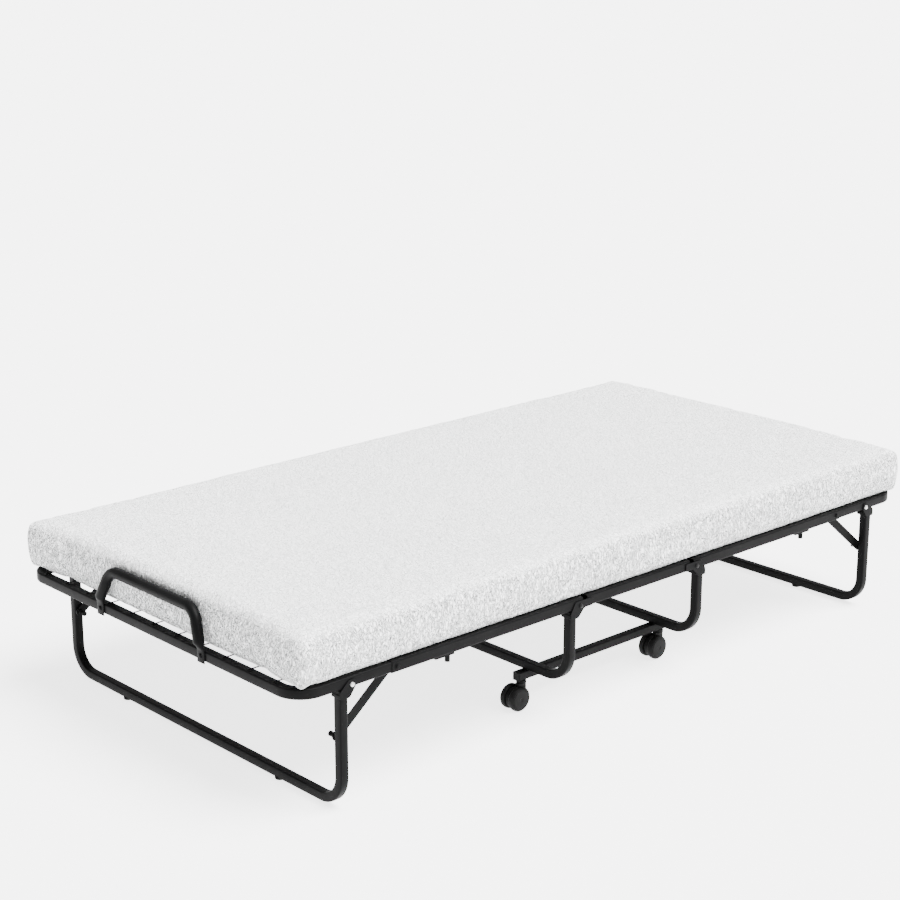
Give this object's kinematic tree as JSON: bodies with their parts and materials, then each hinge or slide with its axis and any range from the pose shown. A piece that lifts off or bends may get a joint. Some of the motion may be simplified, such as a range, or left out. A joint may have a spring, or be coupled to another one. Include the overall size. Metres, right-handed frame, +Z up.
{
  "type": "rollaway bed",
  "caption": "Folding rollaway bed: foam mattress on a wire deck, steel tube frame that folds up at the centre, folding end legs and swivel casters.",
  "frame": {"origin": "on the floor under the centre of the open bed", "axes": "+X along the bed towards the head end, +Y across it to the left side, +Z up"},
  "size_m": [1.9322, 0.9798, 0.3875],
  "materials": {
    "steel_black": "satin",
    "wire_black": "satin",
    "bolt_black": "satin",
    "zinc": "satin",
    "plastic_black": "matte",
    "wheel_black": "matte",
    "mattress_white": "matte"
  },
  "bodies": {
    "base": {"caster_bar_left": "steel_black", "caster_bar_right": "steel_black", "fold_bolt_foot_left": "bolt_black", "fold_bolt_foot_right": "bolt_black", "fold_bolt_head_left": "bolt_black", "fold_bolt_head_right": "bolt_black", "mattress_middle": "mattress_white", "mid_cross_bar_foot": "steel_black", "mid_cross_bar_head": "steel_black", "mid_leg_foot": "steel_black", "mid_leg_head": "steel_black", "mid_rail_left": "steel_black", "mid_rail_right": "steel_black"},
    "foot_frame": {"cross_bar_foot_inner": "steel_black", "cross_bar_foot_middle": "steel_black", "cross_bar_foot_outer": "steel_black", "end_tube_foot": "steel_black", "leg_bolt_foot_left": "zinc", "leg_bolt_foot_right": "zinc", "mattress_bend_foot": "mattress_white", "mattress_loop_foot": "steel_black", "mattress_panel_foot": "mattress_white", "side_rail_foot_left": "steel_black", "side_rail_foot_right": "steel_black", "wire_deck_foot_inner": "wire_black", "wire_deck_foot_outer": "wire_black"},
    "foot_leg": {"end_leg_foot": "steel_black", "glide_foot_left": "plastic_black", "glide_foot_right": "plastic_black"},
    "brace_foot_right": {"brace_foot_right": "steel_black"},
    "caster_foot_right": {"caster_housing_foot_right": "plastic_black"},
    "wheels_foot_right": {"caster_wheels_foot_right": "wheel_black"},
    "brace_foot_left": {"brace_foot_left": "steel_black"},
    "caster_foot_left": {"caster_housing_foot_left": "plastic_black"},
    "wheels_foot_left": {"caster_wheels_foot_left": "wheel_black"},
    "head_frame": {"cross_bar_head_inner": "steel_black", "cross_bar_head_middle": "steel_black", "cross_bar_head_outer": "steel_black", "end_tube_head": "steel_black", "leg_bolt_head_left": "zinc", "leg_bolt_head_right": "zinc", "mattress_bend_head": "mattress_white", "mattress_loop_head": "steel_black", "mattress_panel_head": "mattress_white", "side_rail_head_left": "steel_black", "side_rail_head_right": "steel_black", "wire_deck_head_inner": "wire_black", "wire_deck_head_outer": "wire_black"},
    "head_leg": {"end_leg_head": "steel_black", "glide_head_left": "plastic_black", "glide_head_right": "plastic_black"},
    "brace_head_right": {"brace_head_right": "steel_black"},
    "caster_head_right": {"caster_housing_head_right": "plastic_black"},
    "wheels_head_right": {"caster_wheels_head_right": "wheel_black"},
    "brace_head_left": {"brace_head_left": "steel_black"},
    "caster_head_left": {"caster_housing_head_left": "plastic_black"},
    "wheels_head_left": {"caster_wheels_head_left": "wheel_black"}
  },
  "joints": [
    {"name": "foot_half_fold", "type": "hinge", "parent": "base", "child": "foot_frame", "pos_m": [-0.187, 0, 0.266], "axis": [0, 1, 0], "range_deg": [0, 90], "deforming": ["mattress_bend_foot"]},
    {"name": "foot_leg_fold", "type": "hinge", "parent": "foot_frame", "child": "foot_leg", "pos_m": [-0.816, 0, 0.266], "axis": [0, -1, 0], "range_deg": [0, 85]},
    {"name": "brace_foot_right_swing", "type": "hinge", "parent": "foot_leg", "child": "brace_foot_right", "pos_m": [-0.834, -0.4565, 0.154], "axis": [0, -1, 0], "range_deg": [-116, 0]},
    {"name": "caster_foot_right_swivel", "type": "hinge", "parent": "base", "child": "caster_foot_right", "pos_m": [-0.2235, -0.345, 0.0757], "axis": [0, 0, 1], "continuous": true},
    {"name": "wheels_foot_right_roll", "type": "hinge", "parent": "caster_foot_right", "child": "wheels_foot_right", "pos_m": [-0.2425, -0.345, 0.028], "axis": [0, 1, 0], "continuous": true},
    {"name": "brace_foot_left_swing", "type": "hinge", "parent": "foot_leg", "child": "brace_foot_left", "pos_m": [-0.834, 0.4565, 0.154], "axis": [0, -1, 0], "range_deg": [-116, 0]},
    {"name": "caster_foot_left_swivel", "type": "hinge", "parent": "base", "child": "caster_foot_left", "pos_m": [-0.2235, 0.345, 0.0757], "axis": [0, 0, 1], "continuous": true},
    {"name": "wheels_foot_left_roll", "type": "hinge", "parent": "caster_foot_left", "child": "wheels_foot_left", "pos_m": [-0.2425, 0.345, 0.028], "axis": [0, 1, 0], "continuous": true},
    {"name": "head_half_fold", "type": "hinge", "parent": "base", "child": "head_frame", "pos_m": [0.187, 0, 0.266], "axis": [0, -1, 0], "range_deg": [0, 90], "deforming": ["mattress_bend_head"]},
    {"name": "head_leg_fold", "type": "hinge", "parent": "head_frame", "child": "head_leg", "pos_m": [0.816, 0, 0.266], "axis": [0, 1, 0], "range_deg": [0, 85]},
    {"name": "brace_head_right_swing", "type": "hinge", "parent": "head_leg", "child": "brace_head_right", "pos_m": [0.834, -0.4565, 0.154], "axis": [0, 1, 0], "range_deg": [-116, 0]},
    {"name": "caster_head_right_swivel", "type": "hinge", "parent": "base", "child": "caster_head_right", "pos_m": [0.2235, -0.345, 0.0757], "axis": [0, 0, 1], "continuous": true},
    {"name": "wheels_head_right_roll", "type": "hinge", "parent": "caster_head_right", "child": "wheels_head_right", "pos_m": [0.2045, -0.345, 0.028], "axis": [0, 1, 0], "continuous": true},
    {"name": "brace_head_left_swing", "type": "hinge", "parent": "head_leg", "child": "brace_head_left", "pos_m": [0.834, 0.4565, 0.154], "axis": [0, 1, 0], "range_deg": [-116, 0]},
    {"name": "caster_head_left_swivel", "type": "hinge", "parent": "base", "child": "caster_head_left", "pos_m": [0.2235, 0.345, 0.0757], "axis": [0, 0, 1], "continuous": true},
    {"name": "wheels_head_left_roll", "type": "hinge", "parent": "caster_head_left", "child": "wheels_head_left", "pos_m": [0.2045, 0.345, 0.028], "axis": [0, 1, 0], "continuous": true}
  ],
  "couplings": [
    {"joint": "brace_foot_right_swing", "follows": "foot_leg_fold", "ratio": -1.3642},
    {"joint": "brace_foot_left_swing", "follows": "foot_leg_fold", "ratio": -1.3642},
    {"joint": "brace_head_right_swing", "follows": "head_leg_fold", "ratio": -1.3642},
    {"joint": "brace_head_left_swing", "follows": "head_leg_fold", "ratio": -1.3642}
  ]
}
